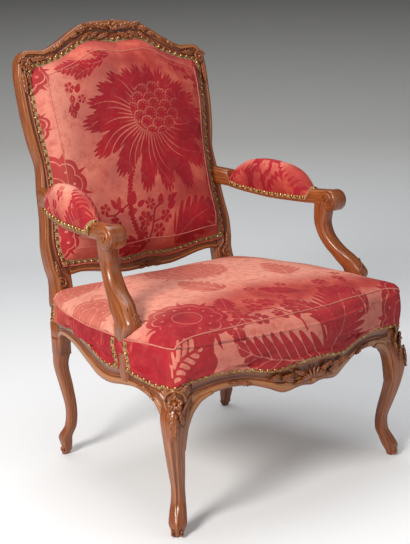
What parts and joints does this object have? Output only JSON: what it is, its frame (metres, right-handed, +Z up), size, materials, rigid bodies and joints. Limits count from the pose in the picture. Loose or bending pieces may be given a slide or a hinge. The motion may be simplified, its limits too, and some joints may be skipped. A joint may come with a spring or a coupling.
{
  "type": "open armchair",
  "caption": "Open armchair with a carved serpentine wooden frame on cabriole legs, padded flat back, seat and armrests in figured velvet.",
  "frame": {"origin": "on the floor under the middle of the chair's overall box", "axes": "+X to the right as seen from the front, +Y to the back, +Z up"},
  "size_m": [0.698, 0.7292, 1.011],
  "materials": {
    "waxed_beech": "waxed, satin",
    "figured_velvet": "cut pile",
    "hair_stuffing": "matt",
    "jute_webbing": "matt",
    "hessian": "matt"
  },
  "bodies": {
    "root": {"arm_left": "waxed_beech", "arm_pad_cover_left": "figured_velvet", "arm_pad_cover_right": "figured_velvet", "arm_pad_stuffing_left": "hair_stuffing", "arm_pad_stuffing_right": "hair_stuffing", "arm_right": "waxed_beech", "arm_support_left": "waxed_beech", "arm_support_right": "waxed_beech", "back_cover": "figured_velvet", "back_hessian": "hessian", "back_stuffing": "hair_stuffing", "back_webbing_crosswise": "jute_webbing", "back_webbing_upright": "jute_webbing", "corner_blocks": "waxed_beech", "crest_rail": "waxed_beech", "front_leg_left": "waxed_beech", "front_leg_right": "waxed_beech", "front_seat_rail": "waxed_beech", "joint_pegs": "waxed_beech", "lower_back_rail": "waxed_beech", "outside_back_panel": "figured_velvet", "rear_leg_left": "waxed_beech", "rear_leg_right": "waxed_beech", "rear_seat_rail": "waxed_beech", "seat_cover": "figured_velvet", "seat_hessian": "hessian", "seat_stuffing": "hair_stuffing", "seat_webbing_crosswise": "jute_webbing", "seat_webbing_lengthwise": "jute_webbing", "side_rail_left": "waxed_beech", "side_rail_right": "waxed_beech"}
  },
  "joints": []
}
